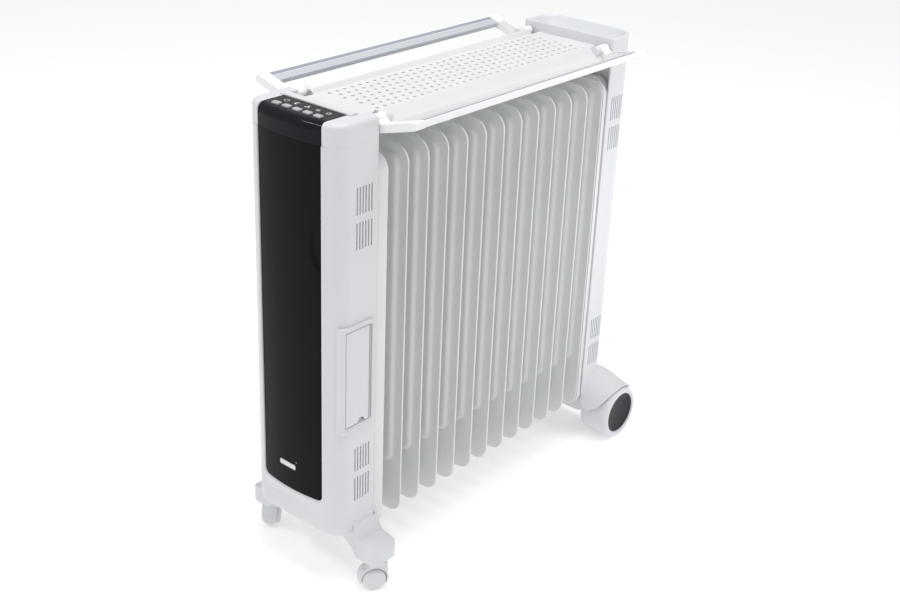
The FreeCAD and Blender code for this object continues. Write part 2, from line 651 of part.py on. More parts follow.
def drying_tray():
    body = new_body("drying_tray")
    arm_end = "arm_front + arm_deep + 0.4"
    extrude(body, "XZ", (arm_end, "arm_rear - arm_deep - 0.4"), [tray_profile()])
    floor = [rectangle(("-50", "50"), ("tray_level - tray_skin", "tray_level"))]
    extrude(body, "XZ", ("tray_front", arm_end), floor)
    extrude(body, "XZ", ("arm_rear - arm_deep - 0.4", "tray_rear"), floor)
    knuckles = [((f"{side} * pivot_x", "pivot_z"), "knuckle_radius") for side in (LEFT, RIGHT)]
    bores = [(place, "pin_radius + fixed_gap") for place, radius in knuckles]
    for span in ((arm_end, f"{arm_end} + 10"), ("arm_rear - arm_deep - 10.4", "arm_rear - arm_deep - 0.4")):
        extrude(body, "XZ", span, circles=knuckles)
    for span in ((f"{arm_end} - 1", f"{arm_end} + 9"), ("arm_rear - arm_deep - 9.4", "arm_rear")):
        extrude(body, "XZ", span, circles=bores, cut=True)
    half = (TRAY_ROWS - 1) / 2
    for shift, rows in ((0, range(0, TRAY_ROWS, 2)), (0.5, range(1, TRAY_ROWS, 2))):
        start = f"hole_pitch * {shift - (TRAY_COLUMNS - 1) / 2} - 12"
        places = [((f"hole_pitch * {row - half}", start), "hole_radius") for row in rows]
        holes = extrude(body, "XY", ("tray_level - 4", "tray_level + 1"), circles=places, cut=True)
        repeat(body, holes, "Y", "hole_pitch", TRAY_COLUMNS)
    return body


def rack_frame(part, side):
    """Puts a rack piece, drawn around its pivot, at the pivot with the opened rack's rise."""
    place_part(part, (f"{side} * pivot_x", "0", "pivot_z"), "Y", f"{-side} * rack_tilt")


def rack_arm(label, side, span):
    body = new_body(label)
    top = "arm_thick - arm_drop"
    corners = [(-6, "-arm_drop"), ("rack_reach", "-arm_drop"), ("rack_reach", top), (11, top),
               (6.5, 0), (-6.5, 0)]
    outline = [(f"{side} * ({across})", up) for across, up in corners]
    extrude(body, "XZ", span, [outline])
    tip = sorted((value(f"{side} * rack_reach"),) * 2)
    round_edges(body, 2.5, "Y", {"X": tip})
    extrude(body, "XZ", span, circles=[((0, 0), "knuckle_radius")])
    extrude(body, "XZ", (f"{span[0]} - 1", f"{span[1]} + 1"),
            circles=[((0, 0), "pin_radius + running_gap")], cut=True)
    rack_frame(body, side)
    return body


def rack_arms(name, side):
    front = rack_arm(f"{name}_front_arm", side, ("arm_front", "arm_front + arm_deep"))
    rear = rack_arm(f"{name}_rear_arm", side, ("arm_rear - arm_deep", "arm_rear"))
    return combine(f"{name}_rack_arms", "Compound", [front, rear])


def rack_rail(name, side):
    """Hollow aluminium rail with two top facets and a groove between them."""
    body = new_body(f"{name}_rack_rail")
    inner, outer = "rack_reach - rail_wide", "rack_reach - 0.4"
    corners = [(inner, "1 - arm_drop"), (outer, "1 - arm_drop"), (outer, -7), (f"{inner} + 11", -6.3),
               (f"{inner} + 10", -7.3), (f"{inner} + 9", -6.3), (inner, -8.5)]
    hollow = [(f"{inner} + 1.5", "2.5 - arm_drop"), (f"{outer} - 1.5", "2.5 - arm_drop"),
              (f"{outer} - 1.5", -8.8), (f"{inner} + 1.5", -9.8)]
    outlines = [[(f"{side} * ({across})", up) for across, up in wire] for wire in (corners, hollow)]
    extrude(body, "XZ", ("arm_front + arm_deep", "arm_rear - arm_deep"), outlines)
    rack_frame(body, side)
    return body


def rack_pivot_pins():
    spans = {"front": ("arm_front - 0.3", "arm_front + arm_deep + 9"),
             "rear": ("arm_rear - arm_deep - 9", "rear_front + 4")}
    members = [rod(f"{name}_{end}_pin", "Y", (f"{side} * pivot_x", "pivot_z"), "pin_radius", span)
               for name, side in SIDES.items() for end, span in spans.items()]
    return combine("rack_pivot_pins", "Compound", members)


# ---------------------------------------------------------------- rear housing
def rear_housing():
    body = new_body("rear_housing")
    extrude(body, "XY", ("rear_low", "cap_seam"), [housing_outline("rear_back", "rear_front")])
    round_edges(body, "rear_round", "Z", {"Y": ("rear_back", "rear_back")})
    cavity = cavity_outline("rear_front - 1", "262", "rear_back - wall")
    extrude(body, "XY", ("rear_low + wall", "cap_seam + 1"), [cavity], cut=True)
    plate_room = rectangle(("wall - half_width", "half_width - wall"), ("rear_front - 1", "rear_foot_front"))
    extrude(body, "XY", ("rear_low - 1", "rear_low + wall + 1"), [plate_room], cut=True)
    cut_vents(body, "237")
    return body


def rear_cap():
    """Top of the rear housing with a wide stepped bowl that serves as a hand-hold."""
    body = new_body("rear_cap")
    extrude(body, "XY", ("cap_seam", "cap_top"), [housing_outline("rear_back", "rear_front")])
    round_edges(body, "rear_round", "Z", {"Y": ("rear_back", "rear_back")})
    round_edges(body, 2, "Y", {"Z": ("cap_top", "cap_top")})
    shell = chamfered(("-69", "69"), ("rear_foot_front", "rear_back - 6"), 20)
    extrude(body, "XY", ("cap_seam - 12", "cap_seam + 2"), [shell])
    shallow = chamfered(("-73", "73"), ("rear_front + 7", "rear_back - 5"), 19)
    extrude(body, "XY", ("cap_seam + wall", "cap_top + 1"), [shallow], cut=True)
    deep = chamfered(("-64", "64"), ("rear_foot_front + 4", "rear_back - 10"), 17)
    extrude(body, "XY", ("cap_seam - 9", "cap_top"), [deep], cut=True)
    pins = [((f"{side} * pivot_x", "pivot_z"), "pin_radius + fixed_gap") for side in (LEFT, RIGHT)]
    extrude(body, "XZ", ("rear_front - 1", "rear_front + 5"), circles=pins, cut=True)
    return body


def rear_heat_shield():
    body = new_body("rear_heat_shield")
    plate = rectangle(("wall - half_width", "half_width - wall"), ("rear_low + wall", "cap_seam - 14"))
    studs = [(("0", "header_low"), 4), (("0", "header_high"), 4)]
    extrude(body, "XZ", ("242.8", "244"), [plate], studs)
    return body


# ---------------------------------------------------------------- rear foot and wheels
def circle_on_yz(body, offset, place, radius):
    """Sketch of one circle on a plane across the heater."""
    sketch = body.newObject("Sketcher::SketchObject", body.Name + "_section")
    sketch.AttachmentSupport = [(origin_feature(body, "YZ_Plane"), "")]
    sketch.MapMode = "FlatFace"
    sketch.setExpression("AttachmentOffset.Base.z", bound(f"1 * ({offset})"))
    draw_circle(sketch, place, radius)
    return sketch


def rear_foot():
    """Foot under the rear housing that swells into a fender over each wheel."""
    body = new_body("rear_foot")
    extrude(body, "XY", ("rear_foot_low", "rear_low"), [housing_outline("rear_back", "rear_front")])
    round_edges(body, "rear_round", "Z", {"Y": ("rear_back", "rear_back")})
    chin = [("rear_front - 1", "rear_foot_low - 1"), ("rear_front - 1", "rear_low - 32"),
            ("rear_front + 11", "rear_low - 62"), ("rear_front + 11", "rear_foot_low - 1")]
    extrude(body, "YZ", ("-half_width - 1", "half_width + 1"), [chin], cut=True)
    sections = ((56, ("wheel_y - 28", "wheel_radius + 43"), "fender_radius - 17.5"),
                (84, ("wheel_y - 13", "wheel_radius + 28"), "fender_radius - 7"),
                (102, ("wheel_y - 6", "wheel_radius + 12"), "fender_radius - 4"),
                (118, ("wheel_y", "wheel_radius"), "fender_radius"))
    for side in (LEFT, RIGHT):
        rings = [circle_on_yz(body, side * across, place, radius) for across, place, radius in sections]
        fender = body.newObject("PartDesign::AdditiveLoft", body.Name + "_fender")
        fender.Profile = rings[0]
        fender.Sections = rings[1:]
        doc.recompute()
    plate_room = rectangle(("-fin_half - 2", "fin_half + 2"), ("rear_front - 1", "rear_foot_front"))
    extrude(body, "XY", ("rear_foot_low - 1", "rear_low + 1"), [plate_room], cut=True)
    beam = rectangle(("wheel_y - 11", "wheel_y + 11"), ("wheel_radius - 9", "rear_foot_low + 20"))
    extrude(body, "YZ", ("2 - wheel_in", "wheel_in - 2"), [beam])
    arch = [(("wheel_y", "wheel_radius"), "arch_radius")]
    for low, high in (("wheel_in - 2", "126"), ("-126", "2 - wheel_in")):
        extrude(body, "YZ", (low, high), circles=arch, cut=True)
    for side in (LEFT, RIGHT):
        below = [("wheel_in - 1", -10), ("wheel_in - 1", 40), (79, 48), (104, 64), (113, 79), (118.5, 92),
                 (127, 92), (127, -10)]
        outline = [(f"{side} * ({across})", up) for across, up in below]
        extrude(body, "XZ", ("wheel_y - 60", "wheel_y + 60"), [outline], cut=True)
    bore = [(("wheel_y", "wheel_radius"), "axle_radius + fixed_gap")]
    extrude(body, "YZ", ("-wheel_in", "wheel_in"), circles=bore, cut=True)
    screws = [((x, 262), 2) for x in (-25, 25)]
    extrude(body, "XY", ("rear_foot_low - 1", "rear_foot_low + 20"), circles=screws, cut=True)
    return body


def rear_axle():
    return rod("rear_axle", "X", ("wheel_y", "wheel_radius"), "axle_radius",
               ("9 - wheel_out", "wheel_out - 9"))


def rear_wheel(name, side):
    """Wide drum wheel, hollow from the inside, with a seat for its hub disc."""
    body = new_body(f"{name}_rear_wheel")
    centre = ("wheel_y", "wheel_radius")

    def span(near, far):
        return (near, far) if side > 0 else (f"-({far})", f"-({near})")
    extrude(body, "YZ", span("wheel_in", "wheel_out"), circles=[(centre, "wheel_radius")])
    for face, radius in (("wheel_in", 4), ("wheel_out", 7)):
        place = sorted((value(f"{side} * {face}"),) * 2)
        round_edges(body, radius, None, {"X": place})
    seat = [(centre, "hub_radius + fixed_gap")]
    extrude(body, "YZ", span("wheel_out - 8", "wheel_out + 1"), circles=seat, cut=True)
    drum = [(centre, "wheel_radius - 5"), (centre, "11")]
    extrude(body, "YZ", span("wheel_in - 1", "wheel_out - 13"), circles=drum, cut=True)
    bore = [(centre, "axle_radius + running_gap")]
    extrude(body, "YZ", span("wheel_in - 2", "wheel_out - 7"), circles=bore, cut=True)
    return body


def hub_disc(name, side):
    low, high = ("wheel_out - 8", "wheel_out - 2")
    span = (low, high) if side > 0 else (f"-({high})", f"-({low})")
    disc = rod(f"{name}_hub_blank", "X", ("wheel_y", "wheel_radius"), "hub_radius", span)
    dish = doc.addObject("Part::Sphere", f"{name}_hub_dish")
    dish.Radius = 150
    depth = 3.5
    place_part(dish, (f"{side} * (wheel_out - 2 + 150 - {depth})", "wheel_y", "wheel_radius"))
    return subtract(f"{name}_hub_disc", disc, dish)


# ---------------------------------------------------------------- front foot and castors
def front_foot():
    """Cross beam whose ends step down to the castors."""
    body = new_body("front_foot")
    right = [(("half_width"), "foot_seam"), (81, 92), (90, 75), (93, 73.5), (117, 68.5),
             ("foot_tip", 64), ("foot_tip", 49), (118, "foot_low"), (86, "foot_low"), (76, 58), (58, 71)]
    left = [(f"-({across})", up) for across, up in reversed(right)]
    extrude(body, "XZ", ("foot_front", "foot_rear"), [right + left])
    for side in (LEFT, RIGHT):
        tip = sorted((value(f"{side} * foot_tip"),) * 2)
        round_edges(body, 14, "Z", {"X": tip})
    shoulder = [rectangle(("-half_width - 1", "half_width + 1"), ("front_rear - 1", "foot_rear + 1"))]
    extrude(body, "XY", ("foot_seam - 10", "foot_seam + 1"), shoulder, cut=True)
    plate_room = [rectangle(("-fin_half - 2", "fin_half + 2"), ("front_rear + 0.8", "foot_rear + 1"))]
    extrude(body, "XY", ("fin_low - 2", "foot_seam"), plate_room, cut=True)
    sockets = [((f"{side} * castor_x", "castor_y"), "stem_radius + running_gap") for side in (LEFT, RIGHT)]
    extrude(body, "XY", ("foot_low - 1", "63"), circles=sockets, cut=True)
    screws = [((x, "-268"), 2) for x in ("-30", "30")]
    extrude(body, "XY", ("66", "84"), circles=screws, cut=True)
    return body


def foot_screws():
    members = []
    for place in (("-30", "-268"), ("30", "-268")):
        tag = f"front_{len(members)}"
        shank = rod("shank_" + tag, "Z", place, 2, ("70", "84"))
        head = rod("head_" + tag, "Z", place, 4, ("68.6", "71"))
        members.append(combine("screw_" + tag, "MultiFuse", [shank, head]))
    for place in (("-25", "262"), ("25", "262")):
        tag = f"rear_{len(members)}"
        shank = rod("shank_" + tag, "Z", place, 2, ("rear_foot_low", "rear_foot_low + 20"))
        head = rod("head_" + tag, "Z", place, 4, ("rear_foot_low - 2.4", "rear_foot_low"))
        members.append(combine("screw_" + tag, "MultiFuse", [shank, head]))
    return combine("foot_screws", "Compound", members)


def castor_base(name):
    side = SIDES[name]
    return (f"{side} * castor_x", "castor_y", "0"), str(CASTOR_TURN[name])


def castor_hood(name):
    """Stem and neck above a cover over two wheels, with a web between them."""
    body = new_body(f"{name}_castor_hood")
    centre = ("castor_trail", "castor_radius")
    across = ("-castor_cover", "castor_cover")
    extrude(body, "YZ", across, circles=[(centre, "castor_radius + 3.5")])
    for face in across:
        round_edges(body, 2, None, {"X": (face, face)})
    bell = [("castor_trail - castor_radius - 3", "castor_radius"), (-12, "foot_low - 4"),
            (12, "foot_low - 4"), ("castor_trail + castor_radius + 3", "castor_radius")]
    extrude(body, "YZ", across, [bell])
    for span in (("castor_web", "castor_cover + 1"), ("-castor_cover - 1", "-castor_web")):
        extrude(body, "YZ", span, circles=[(centre, "castor_radius + 1")], cut=True)
    below = [("castor_trail - 30", "castor_radius - 9"), ("castor_trail + 30", "castor_radius - 2"),
             ("castor_trail + 30", "-10"), ("castor_trail - 30", "-10")]
    extrude(body, "YZ", ("-castor_cover - 1", "castor_cover + 1"), [below], cut=True)
    extrude(body, "XY", ("foot_low - 8", "foot_low - 0.4"), circles=[((0, 0), 13)])
    extrude(body, "XY", ("foot_low - 4", "62"), circles=[((0, 0), "stem_radius")])
    bore = [(centre, "2.5 + running_gap")]
    extrude(body, "YZ", ("-castor_cover", "castor_cover"), circles=bore, cut=True)
    base, turn = castor_base(name)
    place_part(body, base, "Z", turn)
    return body


def castor_roller(label, side, name):
    """One of a castor's two wheels, with a blind bore for the axle."""
    body = new_body(label)
    centre = ("castor_trail", "castor_radius")

    def span(near, far):
        return (near, far) if side > 0 else (f"-({far})", f"-({near})")
    extrude(body, "YZ", span("castor_web + 0.6", "castor_half"), circles=[(centre, "castor_radius")])
    outer = sorted((value(f"{side} * castor_half"),) * 2)
    round_edges(body, 5, None, {"X": outer})
    extrude(body, "YZ", span("castor_web", "castor_half - 2"), circles=[(centre, 2.5)], cut=True)
    base, turn = castor_base(name)
    place_part(body, base, "Z", turn)
    return body


def castor_wheel(name):
    rollers = [castor_roller(f"{name}_castor_roller_{index}", side, name)
               for index, side in enumerate((LEFT, RIGHT))]
    return combine(f"{name}_castor_wheel", "Compound", rollers)


def castor_axle(name):
    body = new_body(f"{name}_castor_axle")
    centre = ("castor_trail", "castor_radius")
    extrude(body, "YZ", ("2 - castor_half", "castor_half - 2"), circles=[(centre, 2.5)])
    base, turn = castor_base(name)
    place_part(body, base, "Z", turn)
    return body


# ---------------------------------------------------------------- the heater
def build_parts():
    parts = [front_housing(), front_heat_shield(), control_head(), control_fascia(), front_panel(),
             panel_badge(), control_board(), power_board(), thermal_cutout(), tip_over_switch(),
             cord_gland(), compartment_box(), compartment_door(), door_hinge_pin()]
    parts += [push_button(index, name) for index, name in enumerate(BUTTONS)]
    parts += [fin(number) for number in range(1, FIN_COUNT + 1)]
    parts += [end_plate("front_end_plate", -1), end_plate("rear_end_plate", 1), header_collars(),
              heating_element(), filler_plug(), drying_tray(), rear_housing(), rear_cap(),
              rear_heat_shield(), rear_foot(), rear_axle(), front_foot(), foot_screws(),
              rack_pivot_pins()]
    for name, side in SIDES.items():
        parts += [rear_wheel(name, side), hub_disc(name, side), castor_hood(name), castor_wheel(name),
                  castor_axle(name), rack_arms(name, side), rack_rail(name, side)]
    return parts


def check_document(parts):
    """Stops before anything is written if a feature or a finished part is faulty."""
    for item in doc.Objects:
        if {"Invalid", "Error"} & set(item.State):
            raise RuntimeError(f"{item.Name} failed: {item.State}")
    for part in parts:
        if part.Shape.isNull() or not part.Shape.isValid() or not part.Shape.Solids:
            raise RuntimeError(f"{part.Label} has no valid solid")


all_parts = build_parts()
doc.recompute()
check_document(all_parts)
for finished in all_parts:
    finished.Shape.exportStep(os.path.join("parts", finished.Label + ".step"))
print(len(all_parts), "parts written")
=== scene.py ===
import json
import math

import bmesh
import bpy
from mathutils import Matrix, Vector


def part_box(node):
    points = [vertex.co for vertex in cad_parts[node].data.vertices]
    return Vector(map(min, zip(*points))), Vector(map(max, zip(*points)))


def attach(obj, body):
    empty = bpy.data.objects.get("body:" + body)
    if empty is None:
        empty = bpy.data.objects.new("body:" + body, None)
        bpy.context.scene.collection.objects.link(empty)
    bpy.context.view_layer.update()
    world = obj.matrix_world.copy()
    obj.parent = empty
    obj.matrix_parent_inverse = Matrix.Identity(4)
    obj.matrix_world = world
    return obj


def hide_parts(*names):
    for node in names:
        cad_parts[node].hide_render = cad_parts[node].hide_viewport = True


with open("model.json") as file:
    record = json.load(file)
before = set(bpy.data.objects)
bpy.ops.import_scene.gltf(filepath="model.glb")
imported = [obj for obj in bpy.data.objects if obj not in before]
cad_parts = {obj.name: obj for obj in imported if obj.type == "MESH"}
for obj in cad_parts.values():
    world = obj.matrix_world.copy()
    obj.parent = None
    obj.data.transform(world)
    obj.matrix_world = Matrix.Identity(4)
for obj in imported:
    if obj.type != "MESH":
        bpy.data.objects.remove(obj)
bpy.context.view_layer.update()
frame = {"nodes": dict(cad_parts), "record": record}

MM = 0.001
SIDES = {"right": 1, "left": -1}
BUTTONS = ("timer", "sleep", "fan", "heat", "power")


def box_mm(node):
    """Lowest and highest corners of a CAD node, in millimetres."""
    low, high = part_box(node)
    return Vector(low) / MM, Vector(high) / MM


# ---------------------------------------------------------------- materials
def new_material(name):
    """Principled material with its node tree ready; returns the material, its shader and a node maker."""
    material = bpy.data.materials.new(name)
    material.use_nodes = True
    tree = material.node_tree
    shader = tree.nodes["Principled BSDF"]

    def node(kind, **settings):
        made = tree.nodes.new(kind)
        for key, setting in settings.items():
            if key in made.inputs:
                made.inputs[key].default_value = setting
            else:
                setattr(made, key, setting)
        return made

    return material, shader, node


def textured(name, colour, rough, grain, bump, spread=0.015, rough_spread=0.06, **shader_values):
    """Surface with cloudy colour and roughness variation and a fine grain in its relief."""
    material, shader, node = new_material(name)
    link = material.node_tree.links.new
    place = node("ShaderNodeTexCoord")
    cloud = node("ShaderNodeTexNoise", Scale=9.0, Detail=4.0)
    fine = node("ShaderNodeTexNoise", Scale=grain, Detail=3.0)
    link(place.outputs["Object"], cloud.inputs["Vector"])
    link(place.outputs["Object"], fine.inputs["Vector"])
    tint = node("ShaderNodeValToRGB")
    low, high = tint.color_ramp.elements
    low.position, high.position = 0.3, 0.7
    low.color = [max(0.0, c * (1 - spread)) for c in colour] + [1]
    high.color = [min(1.0, c * (1 + spread)) for c in colour] + [1]
    link(cloud.outputs["Fac"], tint.inputs["Fac"])
    link(tint.outputs["Color"], shader.inputs["Base Color"])
    sheen = node("ShaderNodeMapRange")
    sheen.inputs["To Min"].default_value = max(0.02, rough - rough_spread)
    sheen.inputs["To Max"].default_value = rough + rough_spread
    link(fine.outputs["Fac"], sheen.inputs["Value"])
    link(sheen.outputs["Result"], shader.inputs["Roughness"])
    relief = node("ShaderNodeBump", Strength=0.35, Distance=bump)
    link(fine.outputs["Fac"], relief.inputs["Height"])
    link(relief.outputs["Normal"], shader.inputs["Normal"])
    for key, setting in shader_values.items():
        shader.inputs[key.replace("_", " ")].default_value = setting
    return material


MATERIALS = {
    "white_plastic": textured("white_plastic", (0.665, 0.68, 0.705), 0.42, 900, 0.00004),
    "white_paint": textured("white_paint", (0.72, 0.725, 0.74), 0.36, 500, 0.00005),
    "fin_paint": textured("fin_paint", (0.75, 0.77, 0.76), 0.34, 320, 0.00006),
    "gloss_black": textured("gloss_black", (0.011, 0.0105, 0.0155), 0.09, 60, 0.00001,
                            rough_spread=0.02, Specular_IOR_Level=0.1),
    "gloss_panel": textured("gloss_panel", (0.0075, 0.0068, 0.0095), 0.14, 60, 0.00001,
                            Specular_IOR_Level=0.06),
    "silver_badge": textured("silver_badge", (0.62, 0.62, 0.64), 0.28, 700, 0.00002, Metallic=1.0),
    "button_grey": textured("button_grey", (0.44, 0.44, 0.48), 0.3, 800, 0.00003),
    "circuit_board": textured("circuit_board", (0.02, 0.12, 0.05), 0.4, 400, 0.00004),
    "component_black": textured("component_black", (0.02, 0.02, 0.022), 0.5, 500, 0.00004),
    "black_rubber": textured("black_rubber", (0.02, 0.02, 0.02), 0.7, 600, 0.00006),
    "steel": textured("steel", (0.5, 0.5, 0.51), 0.3, 700, 0.00002, Metallic=1.0),
    "rail_aluminium": textured("rail_aluminium", (0.37, 0.40, 0.47), 0.36, 700, 0.00002, Metallic=0.3),
    # painted light: a lighter copy of the rail aluminium, used on the rails' inner facet
    "rail_painted_lit": textured("rail_painted_lit", (0.60, 0.625, 0.67), 0.36, 700, 0.00002, Metallic=0.3),
    "rack_white": textured("rack_white", (0.88, 0.88, 0.885), 0.36, 900, 0.00004),
    # painted shade: dark brown for thin strips that stand in for the shadow in the gaps along the rear rack arm
    "painted_groove_shade": textured("painted_groove_shade", (0.06, 0.045, 0.035), 0.6, 500, 0.00004),
    # painted shade: grey for the ring standing in for the shadowed gap around the side door and for the shadowed well
    # behind its notch
    "gap_shade_grey": textured("gap_shade_grey", (0.26, 0.265, 0.28), 0.6, 500, 0.00004),
    "white_wheel": textured("white_wheel", (0.69, 0.70, 0.73), 0.4, 700, 0.00005),
    "dark_hub": textured("dark_hub", (0.017, 0.016, 0.023), 0.42, 500, 0.00004,
                         Specular_IOR_Level=0.2),
    "castor_grey": textured("castor_grey", (0.66, 0.67, 0.69), 0.4, 700, 0.00004),
}
SLOT_OF = {part["node"]: part["material_slot"] for part in frame["record"]["subparts"]}


# ---------------------------------------------------------------- carried-over CAD nodes
def soften(piece, width):
    """Rounds the sharp edges of a CAD node's shown mesh; the node's own mesh stays as it is."""
    weld = piece.modifiers.new("weld", "WELD")
    weld.merge_threshold = 0.00002
    bevel = piece.modifiers.new("bevel", "BEVEL")
    bevel.width = width * MM
    bevel.segments = 2
    bevel.limit_method = "ANGLE"
    bevel.angle_limit = math.radians(45)
    shade = piece.modifiers.new("shade", "WEIGHTED_NORMAL")
    shade.weight = 100
    shade.keep_sharp = False


SOFT_EDGES = {"front_housing": 0.25, "control_head": 0.25, "rear_housing": 0.4,
              "compartment_box": 0.5, "compartment_door": 0.4, "left_rack_arms": 0.8,
              "right_rack_arms": 0.8, "front_foot": 1.8, "rear_foot": 1.2, "left_castor_hood": 0.8,
              "right_castor_hood": 0.8}

SHOWN_AS = {"left_rack_arms": "rack_white", "right_rack_arms": "rack_white"}

for name, piece in frame["nodes"].items():
    piece.data.materials.clear()
    piece.data.materials.append(MATERIALS[SHOWN_AS.get(name, SLOT_OF[name])])
    if name in SOFT_EDGES:
        soften(piece, SOFT_EDGES[name])


# ---------------------------------------------------------------- mesh helpers
def rounded(left, right, low, high, radius, steps=8):
    """Outline of a rectangle with round corners."""
    middles = ((right - radius, low + radius, -90), (right - radius, high - radius, 0),
               (left + radius, high - radius, 90), (left + radius, low + radius, 180))
    return [(across + radius * math.cos(math.radians(start + 90 * step / steps)),
             up + radius * math.sin(math.radians(start + 90 * step / steps)))
            for across, up, start in middles for step in range(steps + 1)]


def circle(radius, steps=64):
    return [(radius * math.cos(2 * math.pi * step / steps), radius * math.sin(2 * math.pi * step / steps))
            for step in range(steps)]


def skin(rings, capped=True, looped=False):
    """Points and faces of a surface through closed rings of equal length."""
    count = len(rings[0])
    points = [point for ring in rings for point in ring]
    faces = []
    for index in range(len(rings) if looped else len(rings) - 1):
        here, there = index * count, (index + 1) % len(rings) * count
        for step in range(count):
            after = (step + 1) % count
            faces.append((here + step, here + after, there + after, there + step))
    if capped and not looped:
        faces.append(tuple(reversed(range(count))))
        faces.append(tuple(range(len(points) - count, len(points))))
    return points, faces


def join(*surfaces):
    """One surface from several."""
    points, faces = [], []
    for more_points, more_faces in surfaces:
        start = len(points)
        points += more_points
        faces += [tuple(index + start for index in face) for face in more_faces]
    return points, faces


def prism(outline, low, high, place):
    """Solid between two levels; place turns (across, up, level) into a point."""
    return skin([[place(across, up, level) for across, up in outline] for level in (low, high)])


def make_mesh(name, surface, sharp=40):
    """Mesh in metres from points in millimetres, smooth except along edges sharper than an angle."""
    points, faces = surface
    mesh = bpy.data.meshes.new(name)
    mesh.from_pydata([Vector(point) * MM for point in points], [], faces)
    work = bmesh.new()
    work.from_mesh(mesh)
    bmesh.ops.remove_doubles(work, verts=work.verts, dist=0.000005)
    bmesh.ops.recalc_face_normals(work, faces=work.faces)
    work.to_mesh(mesh)
    work.free()
    mesh.shade_smooth()
    mesh.set_sharp_from_angle(angle=math.radians(sharp))
    return mesh


def add_piece(name, mesh, body, slot, replaces=(), at=(0, 0, 0)):
    piece = bpy.data.objects.new(name, mesh)
    piece.location = Vector(at) * MM
    bpy.context.scene.collection.objects.link(piece)
    if not mesh.materials:
        mesh.materials.append(MATERIALS[slot])
    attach(piece, body)
    if replaces:
        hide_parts(*replaces)
    return piece


# ---------------------------------------------------------------- fins and end plates
FIN_LOW, FIN_HIGH = box_mm("fin_07")
FIN_ROUND = 22
CHANNEL_HALF = 59
CHANNEL_LOW, CHANNEL_HIGH = 142, 582
CHANNEL_ROUND = 14
FIN_EDGE = ((0, 0.3), (0.25, 0.9), (0.9, 1.25), (1.9, 1.1), (2.8, 0.7))
CHANNEL_STEP = ((-3.5, 0.7), (-1.8, 0.9), (-0.6, 1.7), (1.2, 3.6), (2.4, 4.5), (4.2, 4.95), (7, 5))


def add_fins():
    """Pressed fins: a rolled bright edge, a flat border and the raised oil channel on both faces."""
    outer = [(thick, rounded(FIN_LOW.x + inset, FIN_HIGH.x - inset, FIN_LOW.z + inset, FIN_HIGH.z - inset,
                             FIN_ROUND - inset)) for inset, thick in FIN_EDGE]
    inner = [(thick, rounded(inset - CHANNEL_HALF, CHANNEL_HALF - inset, CHANNEL_LOW + inset,
                             CHANNEL_HIGH - inset, CHANNEL_ROUND - inset / 2)) for inset, thick in CHANNEL_STEP]
    one_face = outer + inner
    both = [(-thick, outline) for thick, outline in reversed(one_face)] + one_face
    rings = [[(across, depth, up) for across, up in outline] for depth, outline in both]
    mesh = make_mesh("fin_sheet", skin(rings), sharp=60)
    for number in range(1, 14):
        node = f"fin_{number:02d}"
        low, high = box_mm(node)
        add_piece(f"{node}_sheet", mesh, "heater", "fin_paint", [node], (0, (low.y + high.y) / 2, 0))


PLATE_ROUND = 23.2
PLATE_PROFILE = ((4.6, 6), (3.2, 5.4), (2.3, 3.8), (1.9, 1.4), (1.3, 0.3), (0.5, 0), (0.1, 0.5), (0, 1.4),
                 (0, 15.6), (0.9, 18), (3, 18.9), (3.4, 17.4), (2.2, 16), (1.5, 13.8), (1.5, 8.4), (4.6, 7.2))


def add_end_plate(node, near, far):
    """Pressed tub whose rim rolls over towards the fins; near and far are its Y limits."""
    low, high = box_mm(node)
    toward = math.copysign(1, far - near)
    rings = [[(across, near + toward * depth, up) for across, up in
              rounded(low.x + inset, high.x - inset, low.z + inset, high.z - inset, PLATE_ROUND - inset)]
             for inset, depth in PLATE_PROFILE]
    mesh = make_mesh(node + "_tub", skin(rings), sharp=60)
    add_piece(node + "_tub", mesh, "heater", "white_paint", [node])


# ---------------------------------------------------------------- front panel and its frame
PANEL_LOW, PANEL_HIGH = box_mm("front_panel")
PANEL_HALF = PANEL_HIGH.x
FACE = box_mm("front_housing")[0].y
CROWN = FACE - PANEL_LOW.y
PANEL_CORNER = 8
SCOOP = {"across": 54, "up": 495.5, "wide": 17, "high": 33.5, "deep": 2.6}


def crown_at(across):
    """How far the front bulges at a distance from the middle."""
    return CROWN * max(0.0, 1 - (across / PANEL_HALF) ** 2)


def smooth_step(amount):
    amount = min(1.0, max(0.0, amount))
    return amount * amount * (3 - 2 * amount)


def scoop_at(across, up):
    """Depth of the finger scoop at the panel's right edge."""
    reach = ((across - SCOOP["across"]) / SCOOP["wide"]) ** 2 + ((up - SCOOP["up"]) / SCOOP["high"]) ** 2
    return SCOOP["deep"] * smooth_step((1 - reach) * 4)


